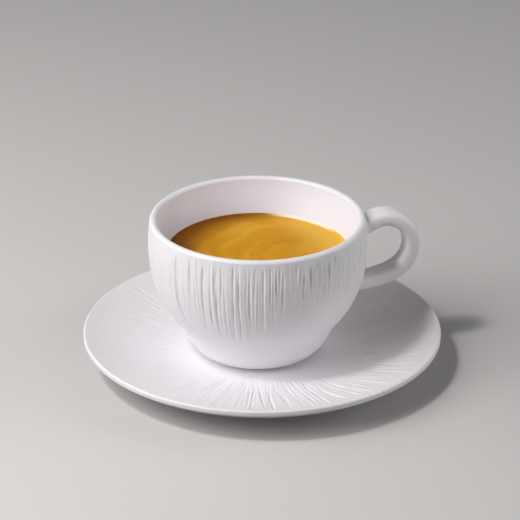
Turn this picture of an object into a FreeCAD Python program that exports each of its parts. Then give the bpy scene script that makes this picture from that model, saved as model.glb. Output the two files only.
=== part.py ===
"""Americano in a thick stoneware cup, standing on its saucer.

Three pieces: the saucer, the cup with its handle, and the coffee that fills the cup to its level.
Millimetres, +Z up. The origin is on the table, under the centre of the saucer, and the handle
points along +X.
"""
import FreeCAD, Part
import math
import os

V = FreeCAD.Vector

# ---- saucer -----------------------------------------------------------------------------------
SAUCER_RADIUS = 75.0
SAUCER_HEIGHT = 14.8          # table to the top of the lip
SAUCER_LIP = 2.4              # thickness of the rounded lip
SAUCER_WALL = 3.8             # thickness of the dish between the well and the lip
RIM_SLOPE = 18.0              # degrees, rise of the dish where it runs into the lip
RIM_UNDERCUT = 50.0           # degrees below level at which the lip's round ends underneath
WELL_FLOOR = 6.5              # table to the flat floor that the cup stands on
WELL_MARGIN = 4.2             # free floor between the cup's foot and the rise of the dish
FLANK_SAG = 1.6               # how far the dish dips below a straight cone, at mid flank
SAUCER_FOOT_RADIUS = 32.0     # outside of the ring under the saucer
SAUCER_FOOT_WIDTH = 4.6
SAUCER_FOOT_HEIGHT = 2.0      # ring below the underside of the well
SAUCER_FOOT_EASE = 0.8        # bevel on both edges of the ring

# ---- cup --------------------------------------------------------------------------------------
CUP_HEIGHT = 59.25            # underside of the foot to the top of the lip
CUP_SHIFT = -1.9              # cup's axis from the saucer's, away from the handle
BELLY_RADIUS = 45.2
RIM_DRAW_IN = 0.6             # wall just under the lip stands in from the belly
CUP_LIP = 3.1                 # thickness of the rounded lip
BASE_RADIUS = 25.2            # lower edge of the body
FOOT_HEIGHT = 1.4             # body's lower edge above the saucer
FOOT_INSET = 2.6              # foot ring stands in from the body's lower edge
FOOT_WIDTH = 4.0
FOOT_RECESS = 2.2             # hollow inside the foot ring
FLOOR_THICKNESS = 5.0         # cup's bottom, above the body's lower edge
SHOULDER_WALL = 7.8           # wall at the height of the drink, thicker than the lip

# ---- handle -----------------------------------------------------------------------------------
HANDLE_REACH = 69.7           # cup's axis to the outermost point
HANDLE_DROP = 5.75            # lip down to the crest of the centre line
HANDLE_SPAN = 28.7            # crest of the centre line down to the lower root
HANDLE_THICKNESS = 6.8        # in the plane of the loop
HANDLE_WIDTH = 10.4           # across the loop
ROOT_FLARE = 0.3              # growth of the section where it meets the wall
FLARE_REACH = 0.09            # how soon the flare fades, as a share of the loop's length
ROOT_DEPTH = 0.5              # how far into the wall each end reaches, as a share of the wall
ROOT_FILLET = 1.8

# ---- drink ------------------------------------------------------------------------------------
DRINK_BELOW_LIP = 15.6

# Outlines, as shares. The body goes from its lower edge (0, 0) out to the belly and up to the lip,
# the bowl from the middle of its floor out to the wall and up to the drink's level, and the loop
# from the wall (0) to its tip (1) and from its lower root (0) to its crest (1).
BODY_SHAPE = ((0.0, 0.0), (0.17, 0.067), (0.34, 0.178), (0.665, 0.34), (0.93, 0.562), (1.0, 0.85))
BOWL_SHAPE = ((0.0, 0.0), (0.45, 0.07), (0.82, 0.42), (1.0, 1.0))
LOOP_SHAPE = ((0.0, 0.89), (0.31, 1.0), (0.66, 0.965), (0.91, 0.80), (1.0, 0.555), (0.91, 0.315),
              (0.66, 0.15), (0.33, 0.062))
LOOP_STATIONS = 25

# ---- worked out from the sizes above ------------------------------------------------------------
RIM_RADIUS = BELLY_RADIUS - RIM_DRAW_IN
LIP_START = CUP_HEIGHT - CUP_LIP / 2
DRINK_LEVEL = CUP_HEIGHT - DRINK_BELOW_LIP
BOWL_FLOOR = FOOT_HEIGHT + FLOOR_THICKNESS
FOOT_RADIUS = BASE_RADIUS - FOOT_INSET
WELL_RADIUS = FOOT_RADIUS + abs(CUP_SHIFT) + WELL_MARGIN


def at(radius, height):
    return V(radius, 0, height)


def straight(*points):
    """Edges that join the points one after another."""
    return [Part.LineSegment(a, b).toShape() for a, b in zip(points, points[1:])]


def lip(inside, top, outside):
    """Round edge from the inside of a wall over its top to the outside."""
    return Part.Arc(inside, top, outside).toShape()


def spline(points, start=None, end=None):
    """Smooth curve through the points, with the directions at its ends if they are given."""
    curve = Part.BSplineCurve()
    if start is None:
        curve.interpolate(Points=points)
    else:
        curve.interpolate(Points=points, InitialTangent=start, FinalTangent=end)
    return curve


def turned(edges):
    """Solid of revolution about Z from a closed outline in the XZ plane."""
    face = Part.Face(Part.Wire(edges))
    return face.revolve(V(0, 0, 0), V(0, 0, 1), 360)


def radius_at(curve, height):
    """Radius of a rising outline at a height, between the closest points of a fine walk."""
    steps = 400
    stride = (curve.LastParameter - curve.FirstParameter) / steps
    walk = [curve.value(curve.FirstParameter + stride * i) for i in range(steps + 1)]
    low = max((p for p in walk if p.z <= height), key=lambda p: p.z)
    high = min((p for p in walk if p.z > height), key=lambda p: p.z)
    share = (height - low.z) / (high.z - low.z)
    return low.x + (high.x - low.x) * share


# ---- saucer -----------------------------------------------------------------------------------
def saucer():
    """Flat well, a dish that runs smoothly into the round lip, and a ring to stand on."""
    bend = SAUCER_LIP / 2
    lip_middle = at(SAUCER_RADIUS - bend, SAUCER_HEIGHT - bend)
    rise = math.radians(RIM_SLOPE)
    tuck = math.radians(RIM_UNDERCUT)
    lip_in = lip_middle + V(-bend * math.sin(rise), 0, bend * math.cos(rise))
    lip_out = lip_middle + V(bend, 0, 0)
    lip_under = lip_middle + V(bend * math.cos(tuck), 0, -bend * math.sin(tuck))
    floor_end = at(WELL_RADIUS, WELL_FLOOR)
    flank = (floor_end + lip_in) / 2 - V(0, 0, FLANK_SAG)
    dish = spline([floor_end, flank, lip_in], V(1, 0, 0.02), V(math.cos(rise), 0, math.sin(rise)))

    ring_out = SAUCER_FOOT_RADIUS
    ring_in = SAUCER_FOOT_RADIUS - SAUCER_FOOT_WIDTH
    ease = SAUCER_FOOT_EASE
    under = at(ring_out, SAUCER_FOOT_HEIGHT)
    leaving = V(-math.sin(tuck), 0, -math.cos(tuck))
    outside = spline([lip_under, flank - V(0, 0, SAUCER_WALL), under], leaving, V(-1, 0, 0))
    foot = straight(under, at(ring_out, ease), at(ring_out - ease, 0), at(ring_in + ease, 0),
                    at(ring_in, ease), at(ring_in, SAUCER_FOOT_HEIGHT), at(0, SAUCER_FOOT_HEIGHT),
                    at(0, WELL_FLOOR), floor_end)
    return turned([dish.toShape(), lip(lip_in, lip_out, lip_under), outside.toShape()] + foot)


# ---- cup, in its own frame: the foot's underside is z = 0 ---------------------------------------
def outer_outline():
    """Outside of the body, from its lower edge up to the start of the lip's round."""
    swell = BELLY_RADIUS - BASE_RADIUS
    rise = CUP_HEIGHT - FOOT_HEIGHT
    points = [at(BASE_RADIUS + swell * out, FOOT_HEIGHT + rise * up) for out, up in BODY_SHAPE]
    return spline(points + [at(RIM_RADIUS, LIP_START)])


def inner_outline():
    """Inside of the bowl, from the middle of its floor up to the start of the lip's round."""
    reach = radius_at(outer_outline(), DRINK_LEVEL) - SHOULDER_WALL
    depth = DRINK_LEVEL - BOWL_FLOOR
    points = [at(reach * out, BOWL_FLOOR + depth * up) for out, up in BOWL_SHAPE]
    return spline(points + [at(RIM_RADIUS - CUP_LIP, LIP_START)], V(1, 0, 0), V(0.15, 0, 1))


def bowl():
    """Wall, bottom, lip and foot ring as one turned solid."""
    lip_in = at(RIM_RADIUS - CUP_LIP, LIP_START)
    lip_top = at(RIM_RADIUS - CUP_LIP / 2, CUP_HEIGHT)
    lip_out = at(RIM_RADIUS, LIP_START)
    ring_in = FOOT_RADIUS - FOOT_WIDTH
    foot = straight(at(BASE_RADIUS, FOOT_HEIGHT), at(FOOT_RADIUS, FOOT_HEIGHT), at(FOOT_RADIUS, 0),
                    at(ring_in, 0), at(ring_in, FOOT_RECESS), at(0, FOOT_RECESS), at(0, BOWL_FLOOR))
    inside = inner_outline().toShape()
    return turned([inside, lip(lip_in, lip_top, lip_out), outer_outline().toShape()] + foot)


def bowl_space(top):
    """What the bowl holds, from its floor up to a height."""
    cover = straight(at(RIM_RADIUS - CUP_LIP, LIP_START), at(0, LIP_START), at(0, BOWL_FLOOR))
    space = turned([inner_outline().toShape()] + cover)
    return space.common(Part.makeCylinder(BELLY_RADIUS, top))


def wall_at(height):
    """Outside radius of the wall, and how thick it is there."""
    outside = radius_at(outer_outline(), height)
    return outside, outside - radius_at(inner_outline(), height)


def loop_path():
    """Handle's centre line, from inside the wall at its upper root to inside it at its lower root."""
    low = CUP_HEIGHT - HANDLE_DROP - HANDLE_SPAN
    high = low + HANDLE_SPAN * LOOP_SHAPE[0][1]
    wall_high, thick_high = wall_at(high)
    wall_low, thick_low = wall_at(low)
    reach = HANDLE_REACH - HANDLE_THICKNESS / 2 - wall_high
    points = [at(wall_high - thick_high * ROOT_DEPTH, high - thick_high * ROOT_DEPTH / 2)]
    points += [at(wall_high + reach * out, low + HANDLE_SPAN * up) for out, up in LOOP_SHAPE]
    points += [at(wall_low, low), at(wall_low - thick_low * ROOT_DEPTH, low)]
    return spline(points)


def loop_section(path, parameter, growth):
    """Oval wire square to the centre line."""
    centre = path.value(parameter)
    along = V(path.tangent(parameter)[0]).normalize()
    across = V(0, 1, 0)
    third = across.cross(along)
    oval = Part.Ellipse(V(0, 0, 0), HANDLE_WIDTH / 2 * growth, HANDLE_THICKNESS / 2 * growth)
    turn = FreeCAD.Matrix(across.x, third.x, along.x, centre.x,
                          across.y, third.y, along.y, centre.y,
                          across.z, third.z, along.z, centre.z,
                          0, 0, 0, 1)
    return Part.Wire([oval.toShape()]).transformGeometry(turn)


def handle():
    """Oval section led along the loop, flaring at both roots."""
    path = loop_path()
    length = path.LastParameter - path.FirstParameter
    sections = []
    for i in range(LOOP_STATIONS):
        share = i / (LOOP_STATIONS - 1)
        growth = 1 + ROOT_FLARE * math.exp(-(min(share, 1 - share) / FLARE_REACH) ** 2)
        sections.append(loop_section(path, path.FirstParameter + length * share, growth))
    return Part.makeLoft(sections, True, False)


def root_edges(whole):
    """Edges where the handle's surface meets the turned wall."""
    meeting = {"BSplineSurface", "SurfaceOfRevolution"}
    return [edge for edge in whole.Edges
            if {type(face.Surface).__name__ for face in whole.ancestorsOfType(edge, Part.Face)} == meeting]


def cup():
    grip = handle().cut(bowl_space(LIP_START))
    whole = bowl().fuse(grip).removeSplitter()
    return whole.makeFillet(ROOT_FILLET, root_edges(whole))


# ---- the three pieces in place -----------------------------------------------------------------
def placed(shape):
    """From the cup's own frame to its place in the saucer's well."""
    moved = shape.copy()
    moved.translate(V(CUP_SHIFT, 0, WELL_FLOOR))
    return moved


def write(shape, node):
    solid = shape.Solids[0]
    print(f"{node:7s} solids {len(shape.Solids)}, valid {shape.isValid()}, {solid.Volume / 1000:.2f} cm3")
    solid.exportStep(f"parts/{node}.step")


os.makedirs("parts", exist_ok=True)
write(saucer(), "saucer")
write(placed(cup()), "cup")
write(placed(bowl_space(DRINK_LEVEL)), "coffee")
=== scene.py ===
# %% [markdown]
# # An americano in a grooved stoneware cup
# Three things stand on the table: a thick white saucer, a round-bellied cup with a loop handle, and
# the coffee with its golden crema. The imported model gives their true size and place, and this
# lesson gives them their looks: the hand-cut grooves, the satin glaze and the foam on the drink.
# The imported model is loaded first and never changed. Each of its three solids is then replaced by
# a finer mesh that fills the same space, to within about a millimetre.

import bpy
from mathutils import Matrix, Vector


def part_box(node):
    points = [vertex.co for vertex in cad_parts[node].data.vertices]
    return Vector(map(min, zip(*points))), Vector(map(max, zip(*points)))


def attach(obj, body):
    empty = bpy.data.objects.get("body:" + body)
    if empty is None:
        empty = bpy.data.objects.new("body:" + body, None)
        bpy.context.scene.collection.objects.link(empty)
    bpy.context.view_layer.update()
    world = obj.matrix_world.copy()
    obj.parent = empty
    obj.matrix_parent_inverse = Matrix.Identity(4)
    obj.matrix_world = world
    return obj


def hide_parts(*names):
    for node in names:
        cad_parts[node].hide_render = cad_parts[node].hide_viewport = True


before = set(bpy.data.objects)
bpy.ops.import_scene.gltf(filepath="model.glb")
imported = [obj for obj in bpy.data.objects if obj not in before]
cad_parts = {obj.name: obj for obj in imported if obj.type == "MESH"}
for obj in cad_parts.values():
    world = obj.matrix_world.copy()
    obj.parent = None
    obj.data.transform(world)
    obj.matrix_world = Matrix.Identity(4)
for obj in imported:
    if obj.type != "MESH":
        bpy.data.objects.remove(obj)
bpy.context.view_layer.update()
print("nodes", sorted(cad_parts))

# %% Modules and the one unit that the lesson works in
import math

import bmesh
import bpy
import numpy as np
from mathutils import Vector

MM = 0.001                      # every length below is in millimetres, Blender's own unit is the metre
TURN = 2 * math.pi
scene = bpy.context.scene
print("one millimetre is", MM, "of Blender's units")

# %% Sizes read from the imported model
saucer_high = np.array(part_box("saucer")[1]) / MM
cup_low, cup_high = (np.array(c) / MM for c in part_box("cup"))
coffee_low, coffee_high = (np.array(c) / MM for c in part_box("coffee"))

SAUCER_RADIUS = saucer_high[0]
SAUCER_HEIGHT = saucer_high[2]
CUP_AXIS = (coffee_low[0] + coffee_high[0]) / 2
CUP_BOTTOM = cup_low[2]
CUP_TOP = cup_high[2]
BELLY_RADIUS = cup_high[1]
HANDLE_TIP = cup_high[0] - CUP_AXIS
DRINK_LEVEL = coffee_high[2]
DRINK_RADIUS = coffee_high[1]
BOWL_FLOOR = coffee_low[2]
print(f"saucer {SAUCER_RADIUS:.2f} x {SAUCER_HEIGHT:.2f}, cup axis {CUP_AXIS:.2f}, "
      f"cup {CUP_BOTTOM:.2f} to {CUP_TOP:.2f}, belly {BELLY_RADIUS:.2f}, handle tip {HANDLE_TIP:.2f}")
print(f"drink level {DRINK_LEVEL:.2f}, drink radius {DRINK_RADIUS:.2f}, bowl floor {BOWL_FLOOR:.2f}")

# %% [markdown]
# ## The camera
# A long lens from about a metre away keeps the cup's ellipses calm. The camera stands a little to
# the left of square-on to the handle, so the handle turns slightly away from it, and it looks down
# by 25 degrees, far enough to see the drink. It is set first, because it decides how fine the
# grooves and the glaze have to be.

# %% Camera
CAMERA_PLACE = (-223.6, -896.8, 474.5)
CAMERA_DOWN = 24.883           # degrees below the horizon
CAMERA_TURN = -13.945          # degrees, about the vertical
CAMERA_ROLL = 0.0
LENS = 169.9

camera = bpy.data.objects.new("camera", bpy.data.cameras.new("camera"))
scene.collection.objects.link(camera)
camera.location = [v * MM for v in CAMERA_PLACE]
camera.rotation_euler = [math.radians(a) for a in (90 - CAMERA_DOWN, CAMERA_ROLL, CAMERA_TURN)]
camera.data.lens = LENS
camera.data.sensor_width = 36
scene.camera = camera
print("camera", [round(v, 3) for v in camera.location], "lens", LENS)

# %% [markdown]
# ## Lines, rings and closed meshes
# Thrown ware is a profile turned about an axis. A plain Spin or Screw modifier would do that too,
# but the grooves need many points where they are cut and the foot needs few, so the rings are laid
# one by one: each ring says how many points it has, and where the number halves a row of triangles
# joins the two. The result is one closed skin with no loose edge, which is what a printed or
# measured copy of the cup needs.

# %% A smooth line through a few points
def smooth_line(points, step, start=None, end=None):
    """Evenly spaced points, about a step apart, along a cubic spline. Its end directions may be given."""
    p = np.array(points, float)
    h = np.linalg.norm(np.diff(p, axis=0), axis=1)
    n = len(p)
    system = np.zeros((n, n))
    right = np.zeros_like(p)
    for i in range(1, n - 1):
        system[i, i - 1:i + 2] = h[i], 2 * (h[i - 1] + h[i]), h[i - 1]
        right[i] = 3 * (h[i] * (p[i] - p[i - 1]) / h[i - 1] + h[i - 1] * (p[i + 1] - p[i]) / h[i])
    for row, other, span, given in ((0, 1, h[0], start), (n - 1, n - 2, h[-1], end)):
        if given is None:
            system[row, row], system[row, other] = 2, 1
            right[row] = 3 * (p[max(row, other)] - p[min(row, other)]) / span
        else:
            system[row, row] = 1
            right[row] = np.array(given, float) / np.linalg.norm(given)
    slope = np.linalg.solve(system, right)
    dense = []
    for i in range(n - 1):
        t = np.linspace(0, 1, 60, endpoint=i == n - 2)[:, None]
        dense.append((2 * t ** 3 - 3 * t ** 2 + 1) * p[i] + (t ** 3 - 2 * t ** 2 + t) * h[i] * slope[i]
                     + (3 * t ** 2 - 2 * t ** 3) * p[i + 1] + (t ** 3 - t ** 2) * h[i] * slope[i + 1])
    return even_line(np.concatenate(dense), step)


def even_line(line, step):
    """The same line with its points about a step apart."""
    along = np.concatenate([[0], np.cumsum(np.linalg.norm(np.diff(line, axis=0), axis=1))])
    stations = np.linspace(0, along[-1], max(2, round(along[-1] / step) + 1))
    return np.stack([np.interp(stations, along, line[:, i]) for i in range(line.shape[1])], axis=1)


def arc(centre, radius, first, last, count):
    """Points on a round edge, in degrees, with its ends."""
    a = np.radians(np.linspace(first, last, count))
    return np.stack([centre[0] + radius * np.cos(a), centre[1] + radius * np.sin(a)], axis=1)


def outward(line):
    """Unit normals of a profile that runs anticlockwise round the ware, seen with +Z up."""
    ahead = np.gradient(line, axis=0)
    ahead /= np.linalg.norm(ahead, axis=1)[:, None]
    return np.stack([ahead[:, 1], -ahead[:, 0]], axis=1)


def soft_step(x, low, high):
    """0 below low, 1 above high, and smooth between."""
    t = np.clip((np.asarray(x, float) - low) / (high - low), 0, 1)
    return t * t * (3 - 2 * t)


quarter = even_line(arc((0, 0), 10, 0, 90, 50), 1)
print("a quarter circle of 10 mm in steps of 1 mm has", len(quarter), "points")

# %% A skin that is made ring by ring
class Skin:
    """Points and faces of one closed mesh, in millimetres, about an axis at x = axis."""

    def __init__(self, axis=0.0):
        self.axis = axis
        self.points, self.faces, self.total = [], [], 0

    def add_points(self, xyz):
        first = self.total
        self.points.append(np.asarray(xyz, float).reshape(-1, 3))
        self.total += len(self.points[-1])
        return first

    def ring(self, radii, heights, count):
        """Indices of one ring. Radius and height may vary from point to point."""
        a = np.arange(count) * TURN / count
        radii, heights = np.broadcast_to(radii, count), np.broadcast_to(heights, count)
        xyz = np.stack([self.axis + radii * np.cos(a), radii * np.sin(a), heights], axis=1)
        return self.add_points(xyz) + np.arange(count)

    def centre(self, height):
        return np.array([self.add_points([(self.axis, 0, height)])])

    def join(self, low, high, skip=None):
        """Faces between two rings, or a ring and a centre point. Columns named in skip stay open."""
        n = max(len(low), len(high))
        j = np.arange(n)
        if len(low) == len(high):
            quads = np.stack([low[j], low[(j + 1) % n], high[(j + 1) % n], high[j]], axis=1)
            self.faces += quads[~np.isin(j, [] if skip is None else skip)].tolist()
        elif min(len(low), len(high)) == 1:
            if len(low) == 1:
                self.faces += np.stack([low[0] + 0 * j, high[(j + 1) % n], high[j]], axis=1).tolist()
            else:
                self.faces += np.stack([low[j], low[(j + 1) % n], high[0] + 0 * j], axis=1).tolist()
        else:
            self.halve(low, high)

    def halve(self, low, high):
        """A row of triangles between a ring and one with half as many points."""
        fine, coarse = (low, high) if len(low) > len(high) else (high, low)
        m = len(coarse)
        j = np.arange(m)
        a, b, c = fine[2 * j], fine[2 * j + 1], fine[(2 * j + 2) % (2 * m)]
        d, e = coarse[j], coarse[(j + 1) % m]
        rows = [np.stack(t, axis=1) for t in ((a, b, d), (b, e, d), (b, c, e))]
        if fine is high:
            rows = [r[:, ::-1] for r in rows]
        self.faces += np.concatenate(rows).tolist()

    def bridge(self, first, second):
        """Quads between two closed loops with the same number of points."""
        j, k = np.arange(len(first)), np.roll(np.arange(len(first)), -1)
        self.faces += np.stack([first[j], first[k], second[k], second[j]], axis=1).tolist()


def to_object(skin, name):
    """Blender object of a skin, in metres, with its faces turned outward and shaded smooth."""
    mesh = bpy.data.meshes.new(name)
    mesh.from_pydata((np.concatenate(skin.points) * MM).tolist(), [], skin.faces)
    work = bmesh.new()
    work.from_mesh(mesh)
    open_edges = sum(1 for e in work.edges if len(e.link_faces) != 2)
    bmesh.ops.recalc_face_normals(work, faces=work.faces)
    work.to_mesh(mesh)
    work.free()
    mesh.shade_smooth()
    made = bpy.data.objects.new(name, mesh)
    scene.collection.objects.link(made)
    triangles = sum(len(f) - 2 for f in skin.faces)
    print(f"{name}: {len(mesh.vertices)} points, {triangles} triangles, {open_edges} open edges")
    return made


print("skin tools ready")

# %% [markdown]
# ## The grooves
# The potter draws a tool down the soft clay again and again: no two strokes have the same depth,
# length or place. A wave pattern would look machined, and a bump texture would leave the outline
# smooth and catch no shadow, so each stroke is cut into the mesh. A stroke has a centre line that
# wanders a little, a round-bottomed section with clay pushed up on both sides, and ends that fade
# out. The same idea, laid along the radius, gives the combed rays of the saucer.

# %% One stroke
def cut_stroke(field, angles, along, radii, stroke):
    """Adds one stroke to a field of depths. Rows follow along, in mm, and columns follow angles."""
    length = stroke["end"] - stroke["start"]
    t = (along - stroke["start"]) / length
    rows = np.nonzero((t > 0) & (t < 1))[0]
    if len(rows) < 2:
        return
    t = t[rows]
    fade = soft_step(t * length, 0, stroke["fade_in"])
    fade = fade * soft_step((1 - t) * length, 0, stroke["fade_out"])
    swing = stroke["wander"] * np.sin(TURN * (t * stroke["waves"] + stroke["phase"]))
    centre = stroke["angle"] + (stroke["lean"] * (t - 0.5) * length + swing) / radii[rows]
    fade = fade * (1 + 0.4 * np.sin(TURN * (1.7 * t * stroke["waves"] + 2 * stroke["phase"])))
    width = stroke["width"] * (0.7 + 0.3 * fade)
    reach = 3.4 * stroke["width"] / radii[rows].min() + np.ptp(centre) / 2
    columns = np.nonzero(np.abs((angles - centre.mean() + math.pi) % TURN - math.pi) < reach)[0]
    offset = (angles[columns][None, :] - centre[:, None] + math.pi) % TURN - math.pi
    u = np.abs(offset * radii[rows][:, None] / width[:, None])
    section = -np.exp(-u ** 1.5) + stroke["berm"] * np.exp(-((u - 1.7) / 0.75) ** 2)
    field[np.ix_(rows, columns)] += stroke["depth"] * fade[:, None] * section


def combed_clay(rng, shape, along, across):
    """Fine random relief of height 1, long by along rows and narrow by across columns."""
    down, round_ = np.fft.fftfreq(shape[0])[:, None], np.fft.fftfreq(shape[1])[None, :]
    keep = np.exp(-2 * math.pi ** 2 * ((down * along) ** 2 + (round_ * across) ** 2))
    relief = np.fft.ifft2(np.fft.fft2(rng.normal(size=shape)) * keep).real
    return relief / relief.std()


def envelope(angles, corners):
    """Smooth value round the ware through (degrees, value) corners."""
    turns = sorted((a + 360 * k, v) for k in (-1, 0, 1) for a, v in corners)
    a, v = np.array(turns).T
    degrees = (np.degrees(angles) + 180) % 360 - 180
    i = np.clip(np.searchsorted(a, degrees) - 1, 0, len(a) - 2)
    return v[i] + (v[i + 1] - v[i]) * soft_step((degrees - a[i]) / (a[i + 1] - a[i]), 0, 1)


print("groove tools ready")

# %% [markdown]
# ## The cup
# The cup is turned from a profile: foot ring, undercut, belly, rounded lip, and a bowl whose wall
# is thick at the shoulder. The profile's points are the ones that the solid was built from, so the
# mesh fills the same space. The zone from the lower body to the lip gets a point every fifth of a
# millimetre round the cup, because that is where the grooves are.

# %% Profile of the cup
FOOT_HEIGHT = 1.4
FOOT_RADIUS = 22.6
FOOT_INSIDE = 18.6
FOOT_RECESS = 2.2
BASE_RADIUS = 25.2
RIM_RADIUS = BELLY_RADIUS - 0.6
LIP = 3.1
SOFT_EDGE = 0.45                # small rounds that glaze gives to the foot's edges
BODY_SHAPE = ((0.0, 0.0), (0.17, 0.067), (0.34, 0.178), (0.665, 0.34), (0.93, 0.562), (1.0, 0.85))
BOWL_SHAPE = ((0.0, 0.0), (0.45, 0.07), (0.82, 0.42), (1.0, 1.0))
GROOVE_STEP = 1.2               # mm between rings where the grooves are
PLAIN_STEP = 1.9

base_z = CUP_BOTTOM + FOOT_HEIGHT
lip_z = CUP_TOP - LIP / 2
swell = BELLY_RADIUS - BASE_RADIUS
body_corners = [(BASE_RADIUS + swell * out, base_z + (CUP_TOP - base_z) * up)
                for out, up in BODY_SHAPE] + [(RIM_RADIUS, lip_z)]
bowl_corners = [(DRINK_RADIUS * out, BOWL_FLOOR + (DRINK_LEVEL - BOWL_FLOOR) * up)
                for out, up in BOWL_SHAPE] + [(RIM_RADIUS - LIP, lip_z)]
body_line = smooth_line(body_corners, GROOVE_STEP)
bowl_line = smooth_line(bowl_corners, PLAIN_STEP, start=(1, 0), end=(0.15, 1))
print(f"body line {len(body_line)} points, bowl line {len(bowl_line)} points")

# %% [markdown]
# ### Where the strokes fall
# The strokes come in sets. A hundred and fifty of middle depth go round the cup, one every two
# millimetres but never evenly, and many fine ones fill the gaps. Thirteen deep ones stand on the
# side that faces the camera, spaced just as unevenly by the same seeded numbers. The long ones
# start just under the lip and run out at different heights: lowest at the front left and at the
# back, higher towards the handle. A combed roughness a few hundredths of a millimetre high ties
# them together. All of it fades out beside the handle, where the potter smooths the clay to fix
# it.

# %% Strokes on the cup
DEEP_COUNT = 13
DEEP_ARC = (-152, -58)          # degrees: the side that has the deep strokes
DEEP_DEPTHS = (0.24, 0.44)
DEEP_WIDTHS = (0.34, 0.50)
DEEP_TOP = 63.8                 # the highest of them start here
STROKE_SETS = ((150, 0.08, 0.34, 0.28, 0.56, 1.0), (360, 0.04, 0.19, 0.20, 0.34, 0.45),
               (46, 0.04, 0.12, 1.0, 1.9, 0.9))      # how many, depths, widths, length
STROKE_SEED = 11
STROKE_TOP = 64.2               # the others reach up to about this height
TOP_SPREAD = 2.2
LOW_SPREAD = 3.5
# degrees round the cup, and the height at which the strokes run out there
LOW_ENDS = ((-120, 25), (-70, 42), (0, 44), (110, 30), (180, 36))
# degrees round the cup, and how strong the strokes are there
STRENGTH = ((-180, 0.7), (-158, 0.75), (-148, 1), (-104, 1), (-94, 1.8), (-62, 1.9), (-50, 0.9),
            (0, 0.5), (60, 0.9), (150, 0.9))
HANDLE_CLEAR = (13, 27)         # degrees from the handle: no grooves, all grooves
COMB_HEIGHT = 0.035


def stroke_shape(rng, width):
    """What differs from stroke to stroke along its length."""
    return {"width": width, "lean": rng.normal(0, 0.012), "wander": rng.uniform(0.04, 0.22),
            "waves": rng.uniform(0.4, 1.2), "phase": rng.uniform(0, 1), "berm": rng.uniform(0.06, 0.30)}


def cup_strokes(angle_count, line):
    """Depth of the grooves, in mm, on the rings of a line."""
    rng = np.random.default_rng(STROKE_SEED)
    angles = np.arange(angle_count) * TURN / angle_count
    field = np.zeros((len(line), angle_count))
    radii, heights = line[:, 0], line[:, 1]
    for count, least, most, narrow, wide, length in STROKE_SETS:
        for i in range(count):
            angle = TURN * (i + rng.uniform(-0.5, 0.5)) / count
            low = envelope(np.array([angle]), LOW_ENDS)[0] + rng.normal(0, LOW_SPREAD)
            top = STROKE_TOP - abs(rng.normal(0, TOP_SPREAD))
            span = (top - low) * min(1, length * rng.uniform(0.7, 1.3))
            low += rng.uniform(0, 1) * max(0, top - low - span)
            cut_stroke(field, angles, heights, radii, {
                "angle": angle, "start": low, "end": low + span,
                "depth": least + (most - least) * rng.uniform() ** 1.3,
                "fade_in": rng.uniform(9, 20), "fade_out": rng.uniform(0.8, 2.5),
                **stroke_shape(rng, rng.uniform(narrow, wide))})
    comb = combed_clay(rng, field.shape, 8 / GROOVE_STEP, 2.0)
    comb = comb + 0.9 * combed_clay(rng, field.shape, 12 / GROOVE_STEP, 5.0)
    lows = envelope(angles, LOW_ENDS)[None, :]
    field += COMB_HEIGHT * comb * soft_step(heights[:, None] - lows, -4, 8)
    field *= envelope(angles, STRENGTH)[None, :]
    for i in range(DEEP_COUNT):
        share = (i + rng.uniform(0, 1)) / DEEP_COUNT
        angle = math.radians(DEEP_ARC[0] + (DEEP_ARC[1] - DEEP_ARC[0]) * share)
        low = envelope(np.array([angle]), LOW_ENDS)[0] + rng.uniform(0, 16)
        cut_stroke(field, angles, heights, radii, {
            "angle": angle, "start": low, "end": DEEP_TOP - rng.uniform(0, 5),
            "depth": rng.uniform(*DEEP_DEPTHS), "fade_in": 11.0, "fade_out": 1.6,
            **stroke_shape(rng, rng.uniform(*DEEP_WIDTHS))})
    from_handle = np.abs((np.degrees(angles) + 180) % 360 - 180)
    field *= soft_step(from_handle, *HANDLE_CLEAR)[None, :]
    field *= soft_step(lip_z - heights, 0.1, 0.9)[:, None]
    return field


FINE_COUNT = 1536               # points round the grooved zone: one every 0.18 mm
PLAIN_COUNT = 192
grooves = cup_strokes(FINE_COUNT, body_line)
print(f"grooves: deepest {-grooves.min():.2f} mm, highest ridge {grooves.max():.2f} mm")

# %% [markdown]
# ### The handle's two roots
# The handle is a rolled oval of clay, bent to a loop and pressed on. A Boolean union would leave a
# sharp crease and a ragged row of faces, so the wall is left open where each root sits, and the
# skin runs from the edge of that opening, along the wall, up a round fillet and into the oval. Both
# openings have the same number of points, so one set of lines runs from root to root. The loop's
# centre line starts in the middle of the wall, passes through eight points that are shares of the
# loop's reach and height, and ends in the middle of the wall again.

# %% Handle's centre line and section
HANDLE_WIDTH = 10.4             # across the loop
HANDLE_THICK = 6.8              # in the plane of the loop
HANDLE_SQUARE = 3.0             # 2 is an ellipse, more is squarer
HANDLE_DROP = 5.75              # lip down to the crest of the centre line
HANDLE_SPAN = 28.7              # crest of the centre line down to the lower root
LOOP_SHAPE = ((0.0, 0.89), (0.31, 1.0), (0.66, 0.965), (0.91, 0.80), (1.0, 0.555), (0.91, 0.315),
              (0.66, 0.15), (0.33, 0.062))
ROOT_DEPTH = 0.5                # how far into the wall each end goes, as a share of the wall
LINE_STEP = 0.25                # mm between the points of the centre line
ROOT_CLEAR = 3.6                # mm from the wall at which the oval has its full form
WINDOW_COLUMNS = 104
WINDOW_ROWS = 12


def oval(angle):
    """Offsets across the loop and towards its inside, for directions round the section."""
    c, s = np.cos(angle), np.sin(angle)
    wide = np.abs(c / (HANDLE_WIDTH / 2)) ** HANDLE_SQUARE
    thick = np.abs(s / (HANDLE_THICK / 2)) ** HANDLE_SQUARE
    size = (wide + thick) ** (-1 / HANDLE_SQUARE)
    return size * c, size * s


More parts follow.
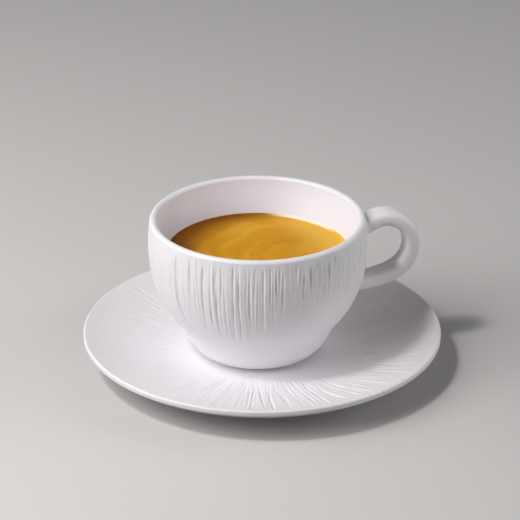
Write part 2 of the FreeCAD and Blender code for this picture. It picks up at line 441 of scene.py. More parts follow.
def wall_across(height):
    """Outside radius of the wall at a height, and how thick the wall is there."""
    outer = np.interp(height, body_line[:, 1], body_line[:, 0])
    return outer, outer - np.interp(height, bowl_line[:, 1], bowl_line[:, 0])


loop_low = CUP_TOP - HANDLE_DROP - HANDLE_SPAN
loop_high = loop_low + HANDLE_SPAN * LOOP_SHAPE[0][1]
outer_high, wall_high = wall_across(loop_high)
outer_low, wall_low = wall_across(loop_low)
loop_reach = HANDLE_TIP - HANDLE_THICK / 2 - outer_high
loop_corners = [(outer_high + loop_reach * out, loop_low + HANDLE_SPAN * up) for out, up in LOOP_SHAPE]
loop_first = (outer_high - wall_high * ROOT_DEPTH, loop_high - wall_high * ROOT_DEPTH / 2)
loop_last = (outer_low - wall_low * ROOT_DEPTH, loop_low)
handle_line = smooth_line([loop_first, *loop_corners, loop_last], LINE_STEP)
wall_radius = np.interp(handle_line[:, 1], body_line[:, 1], body_line[:, 0])
outside = np.nonzero(handle_line[:, 0] - wall_radius > 0)[0]
print(f"handle line {len(handle_line)} points, leaves the wall at z {handle_line[outside[0], 1]:.1f}, "
      f"comes back at z {handle_line[outside[-1], 1]:.1f}")
print(f"tip {handle_line[:, 0].max() + HANDLE_THICK / 2:.2f}, of the packed model {HANDLE_TIP:.2f}")

# %% Profiles of the foot and the lip
def foot_profile():
    """Underside of the cup, from its middle to the lower edge of the body."""
    e = SOFT_EDGE
    ring = [np.array([(r, CUP_BOTTOM + FOOT_RECESS) for r in (6, 12, FOOT_INSIDE - 1.2)]),
            arc((FOOT_INSIDE - e, CUP_BOTTOM + FOOT_RECESS - e), e, 90, 0, 4),
            arc((FOOT_INSIDE + e, CUP_BOTTOM + e), e, 180, 270, 4),
            arc((FOOT_RADIUS - e, CUP_BOTTOM + e), e, 270, 360, 4),
            arc((FOOT_RADIUS + 0.3, base_z - 0.3), 0.3, 180, 90, 3),
            np.array([(FOOT_RADIUS + 1.2, base_z), (BASE_RADIUS - 0.5, base_z)])]
    return np.concatenate(ring)


def lip_profile(inner, outer, height, count):
    """Round lip from the outside of the wall to its inside, without its ends."""
    middle, half = (inner + outer) / 2, (outer - inner) / 2
    return arc((middle, height), half, 0, 180, count + 2)[1:-1]


LIP_POINTS = 13
foot_line, lip_line = foot_profile(), lip_profile(RIM_RADIUS - LIP, RIM_RADIUS, lip_z, LIP_POINTS)
print(f"foot {len(foot_line)} points, lip {len(lip_line)} points")

# %% Rings of the cup
GROOVE_START = 17.0             # z from which the rings are fine
LOW_EDGE = 0.12                 # small bevel on the lower edge of the body

cup_skin = Skin(CUP_AXIS)
rings = [cup_skin.centre(CUP_BOTTOM + FOOT_RECESS)]
for radius, height in foot_line:
    rings.append(cup_skin.ring(radius, height, PLAIN_COUNT))
normals = outward(body_line)
body_rings, body_rows = [], []
first_fine = int(np.argmax(body_line[:, 1] > GROOVE_START))
for row, (radius, height) in enumerate(body_line):
    if row == 0:
        radius, height = radius - LOW_EDGE, height + LOW_EDGE
    count = max(PLAIN_COUNT, FINE_COUNT // 2 ** max(0, first_fine - row))
    depth = grooves[row][::FINE_COUNT // count]
    rings.append(cup_skin.ring(radius + depth * normals[row, 0], height + depth * normals[row, 1], count))
    if count == FINE_COUNT:
        body_rings.append(rings[-1])
        body_rows.append(row)
fine_first = len(rings) - len(body_rings)
lip_rings = [cup_skin.ring(r, z, max(PLAIN_COUNT, FINE_COUNT // 2 ** (k + 1)))
             for k, (r, z) in enumerate(lip_line)]
bowl_rings = [cup_skin.ring(r, z, PLAIN_COUNT) for r, z in bowl_line[::-1][:-1]]
rings += lip_rings + bowl_rings + [cup_skin.centre(BOWL_FLOOR)]
print(f"{len(rings)} rings, {len(body_rings)} of them fine")

# %% Openings for the two roots
def window_rows(middle_z):
    """First row of the fine rings for an opening about a height."""
    heights = np.array([body_line[r, 1] for r in body_rows])
    return int(np.argmin(np.abs(heights - middle_z))) - WINDOW_ROWS // 2


half_columns = WINDOW_COLUMNS // 2
open_columns = np.arange(-half_columns, half_columns) % FINE_COUNT
UPPER_MIDDLE = 56.6
LOWER_MIDDLE = 31.9
windows = {"upper": window_rows(UPPER_MIDDLE), "lower": window_rows(LOWER_MIDDLE)}
closed_rows = set()
for first in windows.values():
    closed_rows |= set(range(first, first + WINDOW_ROWS))
for k in range(len(rings) - 1):
    row = k - fine_first
    cup_skin.join(rings[k], rings[k + 1], skip=open_columns if row in closed_rows else None)
for name, first in windows.items():
    low, high = body_line[body_rows[first], 1], body_line[body_rows[first + WINDOW_ROWS], 1]
    print(f"{name} opening from z {low:.1f} to {high:.1f}")

# %% Tools for the roots
WALL_LOOPS = 3
FILLET_LOOPS = 7
FILLET_PULL = 0.5               # how far the fillet follows the wall and the oval before it turns
EVEN_SHARE = 0.22               # share of the loop over which its points even out
FILLET_REACH = 2.2              # mm that the fillet spreads on the wall
LOOP_STEP = 1.7                 # mm between the ovals


def wall_at(s):
    """Radius, height and outward normal of the body at a place along its line, in rows."""
    rows = np.arange(len(body_line))
    r, z = np.interp(s, rows, body_line[:, 0]), np.interp(s, rows, body_line[:, 1])
    nr, nz = np.interp(s, rows, normals[:, 0]), np.interp(s, rows, normals[:, 1])
    return r, z, nr, nz


def on_wall(angle, s):
    r, z, _, _ = wall_at(s)
    return np.stack([CUP_AXIS + r * np.cos(angle), r * np.sin(angle), z], axis=1)


def root(first, station, sign):
    """Loops from the opening's edge to an oval. Sign is 1 where the loop's inside is below, -1 above."""
    c = np.arange(-half_columns, half_columns)
    rows = np.arange(first, first + WINDOW_ROWS)
    edge = ([(first, k) for k in c] + [(r, half_columns) for r in rows]
            + [(first + WINDOW_ROWS, k) for k in -c] + [(r, -half_columns) for r in rows[::-1] + 1])
    index = np.array([body_rings[r][k % FINE_COUNT] for r, k in edge])
    s_edge = np.array([body_rows[r] for r, k in edge], float)
    a_edge = np.array([k for r, k in edge]) * TURN / FINE_COUNT

    place, along = handle_line[station], handle_line[station + 1] - handle_line[station - 1]
    along = along / np.linalg.norm(along) * sign
    s_middle = body_rows[first] + WINDOW_ROWS / 2
    wall_r, wall_z, nr, nz = wall_at(s_middle)
    mm_row = np.linalg.norm(body_line[int(s_middle) + 1] - body_line[int(s_middle)])
    across = a_edge * wall_r
    up = (s_edge - s_middle) * mm_row
    turn = np.arctan2(-sign * up, across)
    order = np.argsort(turn)
    index, s_edge, a_edge, turn = index[order], s_edge[order], a_edge[order], turn[order]

    # footprint of the oval on the wall, longer where the loop meets the wall at a slant
    slant = abs(along[0] * nr + along[1] * nz)
    w, t = oval(turn)
    size = np.hypot(w, t)
    foot_w = (size + FILLET_REACH) * np.cos(turn)
    foot_t = (size / slant + FILLET_REACH) * np.sin(turn)
    up_wall, off_wall = np.array([-nz, nr]), np.array([nr, nz])
    offset = place - (wall_r, wall_z)
    hit = offset @ up_wall - (along @ up_wall) * (offset @ off_wall) / (along @ off_wall)
    hit = s_middle + hit / mm_row
    s_foot = hit - sign * foot_t / mm_row
    a_foot = foot_w / wall_r
    ends = wall_at([s_foot.min(), s_foot.max(), s_edge.min(), s_edge.max()])[1]
    print("root: footprint from z {:.1f} to {:.1f}, opening from {:.1f} to {:.1f}".format(*ends))

    loops = [index]
    for k in range(1, WALL_LOOPS + 1):
        share = k / WALL_LOOPS
        spot = on_wall(a_edge + (a_foot - a_edge) * share, s_edge + (s_foot - s_edge) * share)
        loops.append(cup_skin.add_points(spot) + np.arange(len(index)))
    # fillet: leaves the wall along it, joins the oval along the loop
    inside = np.array([along[1], -along[0]]) * sign
    ring = np.stack([CUP_AXIS + place[0] + t * inside[0], w, place[1] + t * inside[1]], axis=1)
    start = on_wall(a_foot, s_foot)
    towards = on_wall(a_foot * 0.55, hit + (s_foot - hit) * 0.55) - start
    towards /= np.linalg.norm(towards, axis=1)[:, None]
    back = -np.array([along[0], 0, along[1]])
    gap = np.linalg.norm(ring - start, axis=1)[:, None]
    for k in range(1, FILLET_LOOPS + 1):
        q = k / (FILLET_LOOPS + 1)
        line = ((1 - q) ** 3 * start + 3 * (1 - q) ** 2 * q * (start + towards * gap * FILLET_PULL)
                + 3 * (1 - q) * q ** 2 * (ring + back * gap * FILLET_PULL) + q ** 3 * ring)
        loops.append(cup_skin.add_points(line) + np.arange(len(index)))
    loops.append(cup_skin.add_points(ring) + np.arange(len(index)))
    return loops, turn


def station_clear(order):
    """First station, in an order, at which the oval stands clear of the wall by ROOT_CLEAR."""
    for k in order:
        if handle_line[k, 0] - wall_radius[k] > ROOT_CLEAR:
            return k


print("root tools ready")

# %% The two roots
first_station = station_clear(range(len(handle_line)))
last_station = station_clear(range(len(handle_line) - 1, -1, -1))
upper_loops, upper_turn = root(windows["upper"], first_station, 1)
lower_loops, lower_turn = root(windows["lower"], last_station, -1)
for loops in (upper_loops, lower_loops):
    for a, b in zip(loops, loops[1:]):
        cup_skin.bridge(a, b)
print(f"roots: {len(upper_loops)} and {len(lower_loops)} loops")

# %% Round the loop of the handle
loop_count = round((last_station - first_station) * LINE_STEP / LOOP_STEP)
even_turn = -math.pi + (np.arange(len(upper_turn)) + 0.5) * TURN / len(upper_turn)
previous = upper_loops[-1]
for k in range(1, loop_count):
    share = k / loop_count
    station = first_station + (last_station - first_station) * share
    numbers = np.arange(len(handle_line))
    place = np.array([np.interp(station, numbers, handle_line[:, i]) for i in (0, 1)])
    i = int(station)
    along = handle_line[i + 1] - handle_line[i - 1]
    along /= np.linalg.norm(along)
    even = soft_step(min(share, 1 - share), 0, EVEN_SHARE)
    own = upper_turn * (1 - share) + lower_turn * share
    w, t = oval(own + (even_turn - own) * even)
    inside = np.array([along[1], -along[0]])
    xyz = np.stack([CUP_AXIS + place[0] + t * inside[0], w, place[1] + t * inside[1]], axis=1)
    ring = cup_skin.add_points(xyz) + np.arange(len(own))
    cup_skin.bridge(previous, ring)
    previous = ring
cup_skin.bridge(previous, lower_loops[-1])
print(f"handle: {loop_count} ovals of {len(upper_turn)} points")

# %% The cup as one object
cup = to_object(cup_skin, "stoneware_cup")
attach(cup, "root")
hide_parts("cup")

# %% [markdown]
# ## The saucer
# A flat well, a dish that rises gently, and a lip with two rounded edges. Combed rays run from the
# edge of the well to just inside the lip. They are shallower and wider than the cup's grooves, and
# bend a little, as a hand does when it draws from the middle outwards.

# %% Profile of the saucer
SAUCER_LIP = 2.4
SAUCER_WALL = 3.8
RIM_SLOPE = 18.0                # degrees, rise of the dish where it runs into the lip
RIM_UNDERCUT = 50.0             # degrees below level at which the lip's round ends
WELL_FLOOR = CUP_BOTTOM
WELL_RADIUS = 28.7
FLANK_SAG = 1.6
RIM_EDGE = 0.7                  # radius of the lip's upper and lower edges
RING_OUT = 32.0
RING_IN = 27.4
RING_HEIGHT = 2.0
RAY_STEP = 1.2

edge_middle = (SAUCER_RADIUS - RIM_EDGE, SAUCER_HEIGHT - RIM_EDGE)
low_middle = (SAUCER_RADIUS - RIM_EDGE, SAUCER_HEIGHT - SAUCER_LIP + 0.8 * RIM_EDGE)
lip_round = np.concatenate([arc(low_middle, RIM_EDGE, -RIM_UNDERCUT, 0, 5),
                            arc(edge_middle, RIM_EDGE, 0, 90 + RIM_SLOPE, 8)])
well_edge = np.array([WELL_RADIUS, WELL_FLOOR])
flank = (lip_round[-1] + well_edge) / 2 - (0, FLANK_SAG)
rise, tuck = math.radians(RIM_SLOPE), math.radians(RIM_UNDERCUT)
dish_line = smooth_line([well_edge, flank, lip_round[-1]], RAY_STEP,
                        start=(1, 0.02), end=(math.cos(rise), math.sin(rise)))
under_line = smooth_line([(RING_OUT, RING_HEIGHT), flank - (0, SAUCER_WALL), lip_round[0]],
                         PLAIN_STEP, start=(1, 0), end=(math.sin(tuck), math.cos(tuck)))
print(f"dish {len(dish_line)} points, underside {len(under_line)} points")

# %% Rays of the saucer
RAY_SETS = ((130, 0.08, 0.27, 0.30, 0.55, 1.1), (300, 0.03, 0.13, 0.22, 0.38, 0.6),
            (50, 0.04, 0.12, 1.2, 2.4, 0.9))      # how many, depths, widths, length
# degrees round the saucer, and how strong the rays are there
RAY_STRENGTH = ((-180, 0.35), (-145, 0.4), (-125, 1.2), (-75, 1.4), (-40, 1.1), (30, 1.1),
                (90, 0.9), (150, 0.5))
RAY_SEED = 5
RAY_COMB = 0.02
RAY_ENDS = (30.5, 73.2)


def saucer_rays(angle_count, line):
    """Depth of the rays, in mm, on the rings of a line."""
    rng = np.random.default_rng(RAY_SEED)
    angles = np.arange(angle_count) * TURN / angle_count
    field = np.zeros((len(line), angle_count))
    radii = line[:, 0]
    for count, least, most, narrow, wide, length in RAY_SETS:
        for i in range(count):
            angle = TURN * (i + rng.uniform(-0.5, 0.5)) / count
            start = RAY_ENDS[0] + abs(rng.normal(0, 9))
            end = min(RAY_ENDS[1] - abs(rng.normal(0, 2)), start + length * rng.uniform(26, 52))
            cut_stroke(field, angles, radii, radii, {
                "angle": angle, "start": start, "end": end,
                "depth": least + (most - least) * rng.uniform() ** 1.5,
                "fade_in": rng.uniform(3, 9), "fade_out": rng.uniform(2, 6),
                **stroke_shape(rng, rng.uniform(narrow, wide)),
                "lean": rng.normal(0, 0.05), "wander": rng.uniform(0.1, 0.4)})
    comb = combed_clay(rng, field.shape, 7 / RAY_STEP, 2.2)
    comb = comb + 0.8 * combed_clay(rng, field.shape, 12 / RAY_STEP, 6.0)
    field += RAY_COMB * comb * (soft_step(radii, 30, 38) * soft_step(-radii, -73.4, -70))[:, None]
    field *= envelope(angles, RAY_STRENGTH)[None, :]
    return field


rays = saucer_rays(FINE_COUNT, dish_line)
print(f"rays: deepest {-rays.min():.2f} mm, highest ridge {rays.max():.2f} mm")

# %% Saucer skin
def saucer_foot():
    """Underside of the saucer, from its middle to the outside of the ring that it stands on."""
    e = SOFT_EDGE + 0.2
    return np.concatenate([np.array([(r, RING_HEIGHT) for r in (8, 17, RING_IN - 1.5)]),
                           arc((RING_IN - 0.4, RING_HEIGHT - 0.4), 0.4, 90, 0, 3),
                           arc((RING_IN + e, e), e, 180, 270, 4),
                           arc((RING_OUT - e, e), e, 270, 360, 4),
                           arc((RING_OUT + 0.4, RING_HEIGHT - 0.4), 0.4, 180, 90, 3)])


saucer_skin = Skin()
s_rings = [saucer_skin.centre(RING_HEIGHT)]
s_rings += [saucer_skin.ring(r, z, PLAIN_COUNT) for r, z in saucer_foot()]
s_rings += [saucer_skin.ring(r, z, PLAIN_COUNT) for r, z in under_line[1:-1]]
s_rings += [saucer_skin.ring(r, z, PLAIN_COUNT) for r, z in lip_round]
dish_normals = -outward(dish_line)
for row in range(len(dish_line) - 2, 0, -1):
    edge = min(row, len(dish_line) - 2 - row)
    count = PLAIN_COUNT * min(FINE_COUNT // PLAIN_COUNT, 2 ** edge)
    depth = rays[row][::FINE_COUNT // count]
    s_rings.append(saucer_skin.ring(dish_line[row, 0] + depth * dish_normals[row, 0],
                                    dish_line[row, 1] + depth * dish_normals[row, 1], count))
s_rings += [saucer_skin.ring(r, WELL_FLOOR, PLAIN_COUNT) for r in (WELL_RADIUS, 27.5, 25, 20, 14, 8)]
s_rings.append(saucer_skin.centre(WELL_FLOOR))
for low, high in zip(s_rings, s_rings[1:]):
    saucer_skin.join(low, high)
saucer = to_object(saucer_skin, "stoneware_saucer")
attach(saucer, "root")
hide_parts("saucer")

# %% [markdown]
# ## The coffee
# The drink fills the bowl to a little over fifteen millimetres below the lip. Water climbs the
# glaze at the wall, so the surface turns up in a small meniscus. That curl catches a little light,
# and a painted highlight in the crema's colour makes the bright line along it. The crema is not
# quite flat either: it heaves in shallow drifts.

# %% Coffee skin
MENISCUS = 0.75                 # how far the edge climbs the wall
MENISCUS_REACH = 0.85           # how fast it falls away from the wall
INTO_WALL = 0.04                # keeps a hair of the drink inside the glaze, so that no gap shows
COFFEE_COUNT = 256


def drift(x, y):
    """Shallow swells of the crema, in mm."""
    return (0.035 * np.sin(x / 6.1 + 1.3 * np.sin(y / 9.0))
            + 0.03 * np.sin(y / 4.7 + 1.1 * np.sin(x / 7.5 + 2)) + 0.015 * np.sin((x + y) / 2.6))


coffee_skin = Skin(CUP_AXIS)
bowl_radii, bowl_heights = bowl_line[:, 0], bowl_line[:, 1]
below = bowl_line[(bowl_heights > BOWL_FLOOR + 0.02) & (bowl_heights < DRINK_LEVEL - 1)]
c_rings = [coffee_skin.centre(BOWL_FLOOR)]
c_rings += [coffee_skin.ring(r, z, COFFEE_COUNT) for r, z in below]
edge_z = DRINK_LEVEL + MENISCUS
edge_r = float(np.interp(edge_z, bowl_heights, bowl_radii)) + INTO_WALL
c_rings.append(coffee_skin.ring(edge_r, edge_z, COFFEE_COUNT))
inward = np.concatenate([edge_r - np.array([0.12, 0.3, 0.55, 0.9, 1.4, 2.0, 2.8, 3.8]),
                         np.linspace(edge_r - 5, 1.5, 30)])
angles = np.arange(COFFEE_COUNT) * TURN / COFFEE_COUNT
for r in inward:
    x, y = r * np.cos(angles), r * np.sin(angles)
    calm = soft_step(edge_r - r, 0.5, 6)
    climb = MENISCUS * math.exp(-(edge_r - r) / MENISCUS_REACH)
    c_rings.append(coffee_skin.ring(r, DRINK_LEVEL + climb + calm * drift(x, y), COFFEE_COUNT))
c_rings.append(coffee_skin.centre(DRINK_LEVEL + float(drift(0, 0))))
for low, high in zip(c_rings, c_rings[1:]):
    coffee_skin.join(low, high)
coffee = to_object(coffee_skin, "americano")
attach(coffee, "root")
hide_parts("coffee")

# %% [markdown]
# ## Materials
# Every material is built from nodes. Colours are written as sRGB hex values, which is how a colour
# picker gives them, and turned to the linear numbers that the shader needs by one function.

# %% Helpers for materials
MIX_A, MIX_B = 6, 7             # a Mix node's two colour sockets


def linear(hex_colour):
    """Linear RGBA of an sRGB hex colour."""
    parts = [int(hex_colour.lstrip("#")[i:i + 2], 16) / 255 for i in (0, 2, 4)]
    return tuple(c / 12.92 if c <= 0.04045 else ((c + 0.055) / 1.055) ** 2.4 for c in parts) + (1.0,)


def add(tree, kind, inputs=None, **settings):
    """Adds a node with its settings. An input is a value, an output to link, or a node to link,
    which then gives its first output that is in use."""
    made = tree.nodes.new("ShaderNode" + kind)
    for name, value in settings.items():
        setattr(made, name, value)
    for socket, value in (inputs or {}).items():
        if isinstance(value, bpy.types.Node):
            value = next(o for o in value.outputs if o.enabled)
        if isinstance(value, bpy.types.NodeSocket):
            tree.links.new(value, made.inputs[socket])
        else:
            made.inputs[socket].default_value = value
    return made


def new_material(name):
    material = bpy.data.materials.new(name)
    material.use_nodes = True
    material.node_tree.nodes.clear()
    return material, material.node_tree


def per_mm(size):
    """Noise scale for a pattern whose features are about a size in mm, in object coordinates."""
    return 1 / (size * MM)


print("white is", linear("#FFFFFF"), "mid grey is", [round(c, 3) for c in linear("#808080")])

# %% [markdown]
# ### Satin white glaze on stoneware
# Stoneware is fired hard and white here, and dipped in a satin glaze: silky, not mirror-like, with
# an IOR of about 1.5 and a roughness near 0.4. Glaze is never quite even, so the roughness drifts over
# a few centimetres, the surface has a faint orange peel about a millimetre across, and the colour
# is a touch greyer where the glaze runs thin. Inside the bowl, above the drink, the glaze gets painted
# shade: it is written darker and cooler, which also offsets the warm light that the crema throws up.

# %% Satin glaze
GLAZE_WHITE = linear("#F1EEF1")
GLAZE_THIN = linear("#EAE6EA")
# painted shade: the bowl's inside above the drink is written darker and cooler, against the crema's warm
# bounce light
GLAZE_PAINTED_SHADE = linear("#E5E5F0")
BOWL_REACH = 42.3               # every point of the bowl's wall above the drink is inside this radius
BOWL_BLEND = 0.6                # mm over which the painted shade comes in
glaze, tree = new_material("satin_white_glaze")
place = add(tree, "TexCoord").outputs["Object"]
cloud = add(tree, "TexNoise", {"Vector": place, "Scale": per_mm(24), "Detail": 3.0, "Roughness": 0.5})
peel = add(tree, "TexNoise", {"Vector": place, "Scale": per_mm(1.1), "Detail": 2.0, "Roughness": 0.45})
grain = add(tree, "TexNoise", {"Vector": place, "Scale": per_mm(0.35), "Detail": 1.0, "Roughness": 0.5})
print("glaze noise scales", [round(per_mm(size)) for size in (24, 1.1, 0.35)])

# %% Where the inside of the bowl gets painted shade
from_axis = add(tree, "VectorMath", {0: place, 1: (CUP_AXIS * MM, 0, 0)}, operation="SUBTRACT")
height = add(tree, "SeparateXYZ", {0: place}).outputs["Z"]
level_part = add(tree, "VectorMath", {0: from_axis, 1: (1, 1, 0)}, operation="MULTIPLY")
radius = add(tree, "VectorMath", {0: level_part}, operation="LENGTH")
inside = add(tree, "MapRange", {"Value": radius, "From Min": BOWL_REACH * MM,
             "From Max": (BOWL_REACH - BOWL_BLEND) * MM})
above = add(tree, "Math", {0: height, 1: (DRINK_LEVEL - 8) * MM}, operation="GREATER_THAN")
painted_bowl_shade = add(tree, "Math", {0: inside, 1: above}, operation="MULTIPLY")
print("pooled inside a radius of", BOWL_REACH, "and above z", round(DRINK_LEVEL - 8, 1))

# %% The glaze's colour, sheen and surface
tone = add(tree, "Mix", {0: cloud, MIX_A: GLAZE_WHITE, MIX_B: GLAZE_THIN}, data_type="RGBA")
# painted shade: the inside of the bowl above the drink turns darker and cooler
tone = add(tree, "Mix", {0: painted_bowl_shade, MIX_A: tone, MIX_B: GLAZE_PAINTED_SHADE}, data_type="RGBA")
sheen_map = add(tree, "MapRange", {"Value": cloud, "From Min": 0.3, "From Max": 0.7, "To Min": 0.36,
                "To Max": 0.48})
bump_fine = add(tree, "Bump", {"Height": grain, "Strength": 0.12, "Distance": 0.03 * MM})
bump = add(tree, "Bump", {"Height": peel, "Strength": 0.25, "Distance": 0.08 * MM, "Normal": bump_fine})
shader = add(tree, "BsdfPrincipled", {"Base Color": tone, "Roughness": sheen_map, "IOR": 1.5,
             "Normal": bump})
add(tree, "OutputMaterial", {"Surface": shader})
for piece in (cup, saucer):
    piece.data.materials.append(glaze)
print("glaze on", cup.name, "and", saucer.name)

# %% [markdown]
# ### Crema
# Crema is coffee oil and fine gas bubbles: an opaque golden foam under a thin wet skin. Water's
# IOR is 1.33, but most of the skin is broken by bubbles, so only a part of the surface shines.
# The pour pushes the foam to one side. There it is thick and pale; on the other side it is thin,
# and the dark coffee shows through it; that side also gets painted shade, the shadow of the cup's
# wall from the key lamp. In between it is drawn out in arcs round the middle, and a painted
# highlight, a pale line at the wall on the back right, stands in for the key lamp's glint on the
# meniscus.

# %% Colours and places of the crema
CREMA_PALE = linear("#EFB845")
CREMA_GOLD = linear("#DF9D0E")
CREMA_DEEP = linear("#D3900A")
# dark coffee: for thin crema and burst bubbles, and as painted shade where the cup wall shades the drink
CREMA_THIN_AND_SHADE = linear("#864B00")
# painted highlight: the key lamp's glint on the meniscus, painted as a pale line at the wall
CREMA_PAINTED_HIGHLIGHT = linear("#FFEFD2")
PUSHED_TO = (12.2 * MM, -5.0 * MM, 0)   # middle of the thick foam, from the cup's axis
THICK_SIDE = (0.98, 0.21, 0)            # where the foam is thick and pale
HIGHLIGHT_SIDE = (0.74, 0.67, 0)             # where the painted highlight of the key lamp on the meniscus lies
WANDER = 13 * MM                        # how far the noise pushes the arcs about
DEEP_PLACE, GOLD_PLACE, PALE_PLACE = 0.26, 0.5, 0.80     # where the colours stand in the noise
BUBBLE_SHARE = 0.5                      # how much of the dark coffee a burst bubble shows
print("crema colours", [round(c, 3) for c in CREMA_GOLD])

# %% Crema: arcs round the thick foam
crema, tree = new_material("golden_crema")
place = add(tree, "TexCoord").outputs["Object"]
from_axis = add(tree, "VectorMath", {0: place, 1: (CUP_AXIS * MM, 0, 0)}, operation="SUBTRACT")
flat = add(tree, "VectorMath", {0: from_axis, 1: (1, 1, 0)}, operation="MULTIPLY")
wander = add(tree, "TexNoise", {"Vector": flat, "Scale": per_mm(26), "Detail": 2.0})
push = add(tree, "VectorMath", {0: wander.outputs["Color"], 1: (0.5, 0.5, 0.5)}, operation="SUBTRACT")
drawn = add(tree, "VectorMath", {0: push, 1: (WANDER, WANDER, 0), 2: flat}, operation="MULTIPLY_ADD")
from_thick = add(tree, "VectorMath", {0: drawn, 1: PUSHED_TO}, operation="SUBTRACT")
distance = add(tree, "VectorMath", {0: from_thick}, operation="LENGTH")
across = add(tree, "Math", {0: distance, 1: per_mm(8)}, operation="MULTIPLY")
across = add(tree, "CombineXYZ", {"Z": across})
arcs = add(tree, "VectorMath", {0: from_thick, 1: (per_mm(34), per_mm(34), 0), 2: across},
           operation="MULTIPLY_ADD")
bands = add(tree, "TexNoise", {"Vector": arcs, "Scale": 1.0, "Detail": 3.0, "Roughness": 0.45})
tone = add(tree, "ValToRGB", {"Fac": bands})
ramp = tone.color_ramp
ramp.elements[0].position, ramp.elements[0].color = DEEP_PLACE, CREMA_DEEP
ramp.elements[1].position, ramp.elements[1].color = PALE_PLACE, CREMA_PALE
ramp.elements.new(GOLD_PLACE).color = CREMA_GOLD
print("ramp", [round(e.position, 2) for e in ramp.elements])

# %% Crema: thick on one side, thin and with painted shade on the other
smooth = {"interpolation_type": "SMOOTHSTEP"}
thick = add(tree, "VectorMath", {0: drawn, 1: THICK_SIDE}, operation="DOT_PRODUCT")
thick = add(tree, "MapRange", {"Value": thick, "From Min": 14 * MM, "From Max": 31 * MM}, **smooth)
thick = add(tree, "Math", {0: thick, 1: 0.85}, operation="MULTIPLY")
colour = add(tree, "Mix", {0: thick, MIX_A: tone, MIX_B: CREMA_PALE}, data_type="RGBA")
# thin crema and painted shade: the cup wall's shadow darkens the drink on this side
thin_and_shaded = add(tree, "MapRange", {"Value": distance, "From Min": 30 * MM, "From Max": 46 * MM}, **smooth)
colour = add(tree, "Mix", {0: thin_and_shaded, MIX_A: colour, MIX_B: CREMA_THIN_AND_SHADE}, data_type="RGBA")
print("thick foam from 14 mm, thin from 30 mm")

# %% Crema: burst bubbles and the painted highlight at the wall
cells = add(tree, "TexVoronoi", {"Vector": flat, "Scale": per_mm(5)})
rare = add(tree, "SeparateColor", {0: cells.outputs["Color"]})
core = add(tree, "MapRange", {"Value": cells, "From Min": 0.12, "From Max": 0.06}, **smooth)
chosen = add(tree, "MapRange", {"Value": rare, "From Min": 0.80, "From Max": 0.85}, **smooth)
bubble = add(tree, "Math", {0: core, 1: chosen}, operation="MULTIPLY")
bubble = add(tree, "Math", {0: bubble, 1: BUBBLE_SHARE}, operation="MULTIPLY")
colour = add(tree, "Mix", {0: bubble, MIX_A: colour, MIX_B: CREMA_THIN_AND_SHADE}, data_type="RGBA")
# painted highlight: a pale line just inside the wall, on the back right only
radius = add(tree, "VectorMath", {0: flat}, operation="LENGTH")
side = add(tree, "VectorMath", {0: flat, 1: HIGHLIGHT_SIDE}, operation="DOT_PRODUCT")
edge = add(tree, "MapRange", {"Value": radius, "From Min": (DRINK_RADIUS - 2.0) * MM,
           "From Max": (DRINK_RADIUS - 0.6) * MM}, **smooth)
side = add(tree, "MapRange", {"Value": side, "From Min": 32 * MM, "From Max": 36.8 * MM}, **smooth)
ring = add(tree, "Math", {0: edge, 1: side}, operation="MULTIPLY")
colour = add(tree, "Mix", {0: ring, MIX_A: colour, MIX_B: CREMA_PAINTED_HIGHLIGHT}, data_type="RGBA")
print("pale line inside a radius of", round(DRINK_RADIUS - 0.6, 1))

# %% Crema: surface
foam = add(tree, "TexNoise", {"Vector": place, "Scale": per_mm(0.5), "Detail": 2.0})
bump = add(tree, "Bump", {"Height": foam, "Strength": 0.2, "Distance": 0.05 * MM})
shader = add(tree, "BsdfPrincipled", {"Base Color": colour, "Roughness": 0.34, "IOR": 1.33,
             "Specular IOR Level": 0.09, "Normal": bump})
add(tree, "OutputMaterial", {"Surface": shader})
coffee.data.materials.append(crema)
print("crema on", coffee.name, "with", len(tree.nodes), "nodes")

# %% [markdown]
# ## Floor, light and background
# A plain pale floor and five soft lamps. A small key lamp high at the left gives the cup its shadow
# on the saucer. A window-sized lamp beside it and a broad one low at the left round the belly. A
# wide reflector far off at the right and a wide fill at the front open the shadows, and the room
# adds a trace of light of its own. The camera sees floor and room paler than they light the cup, so
# that a bright background doesn't wash it out. The light is kept at the level at which a colour
# renders about as it is written.

# %% Floor
FLOOR_TONE = linear("#D8D5D3")
FLOOR_BOUNCE = linear("#6E6C6B")        # darker for the light that the floor throws back
floor_mesh = bpy.data.meshes.new("floor")
HALF_FLOOR = 12.0               # metres
corners = [(x * HALF_FLOOR, y * HALF_FLOOR, 0) for x, y in ((-1, -1), (1, -1), (1, 1), (-1, 1))]
floor_mesh.from_pydata(corners, [], [(0, 1, 2, 3)])
floor = bpy.data.objects.new("floor", floor_mesh)
scene.collection.objects.link(floor)
paint, tree = new_material("pale_matt_paint")
path = add(tree, "LightPath")
seen = add(tree, "Math", {0: path.outputs["Is Camera Ray"], 1: path.outputs["Is Glossy Ray"]},
           operation="MAXIMUM")
seen = add(tree, "Math", {0: seen, 1: path.outputs["Is Transmission Ray"]}, operation="MAXIMUM")
tone = add(tree, "Mix", {0: seen, MIX_A: FLOOR_BOUNCE, MIX_B: FLOOR_TONE}, data_type="RGBA")
shader = add(tree, "BsdfPrincipled", {"Base Color": tone, "Roughness": 0.8})
add(tree, "OutputMaterial", {"Surface": shader})
floor_mesh.materials.append(paint)
print("floor", HALF_FLOOR * 2, "m square")

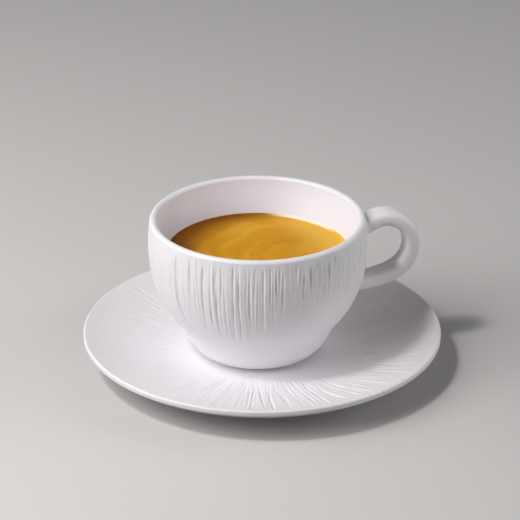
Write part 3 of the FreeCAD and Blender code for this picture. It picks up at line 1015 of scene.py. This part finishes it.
# %% Lights
AIM_HEIGHT = 35                 # mm above the table, where the lamps point


def soft_light(name, direction, distance, size, power):
    """Round soft light that faces the cup from a direction."""
    lamp = bpy.data.lights.new(name, "AREA")
    lamp.shape, lamp.size, lamp.energy = "DISK", size, power
    made = bpy.data.objects.new(name, lamp)
    scene.collection.objects.link(made)
    aim = np.array(direction) / np.linalg.norm(direction)
    centre = np.array([0, 0, AIM_HEIGHT * MM])
    made.location = centre + aim * distance
    made.rotation_euler = Vector(-aim).to_track_quat("-Z", "Y").to_euler()
    return made


def level(irradiance, distance):
    """Power, in watts, of a lamp that gives a white card this share of plain brightness."""
    return irradiance * math.pi * distance ** 2 * math.pi


# name, direction, distance and size in metres, share of plain brightness
LAMPS = (("key_light", (-0.49, -0.17, 0.85), 1.0, 0.13, 0.31),
         ("window_light", (-0.80, -0.25, 0.65), 0.75, 0.6, 0.62),
         ("side_light", (-0.94, 0.25, 0.30), 1.3, 1.2, 0.36),
         ("reflector", (0.97, -0.20, 0.17), 3.9, 3.6, 0.54),
         ("front_fill", (0.35, -0.95, 0.13), 3.9, 3.6, 0.16))
for name, direction, distance, size, share in LAMPS:
    made = soft_light(name, direction, distance, size, level(share, distance))
    print(name, round(made.data.energy, 2), "W")

# %% The room
ROOM = 0.02                     # light of the room itself
world = bpy.data.worlds.new("room")
scene.world = world
world.use_nodes = True
tree = world.node_tree
tree.nodes.clear()
path = add(tree, "LightPath")
seen = add(tree, "Math", {0: path.outputs["Is Camera Ray"], 1: path.outputs["Is Glossy Ray"]},
           operation="MAXIMUM")
seen = add(tree, "Math", {0: seen, 1: path.outputs["Is Transmission Ray"]}, operation="MAXIMUM")
dim = add(tree, "Background", {"Color": (1, 1, 1, 1), "Strength": ROOM})
pale = add(tree, "Background", {"Color": FLOOR_TONE, "Strength": 1.0})
both = add(tree, "MixShader", {0: seen, 1: dim, 2: pale})
add(tree, "OutputWorld", {"Surface": both})
scene.view_settings.view_transform = "Standard"
print("room", ROOM)
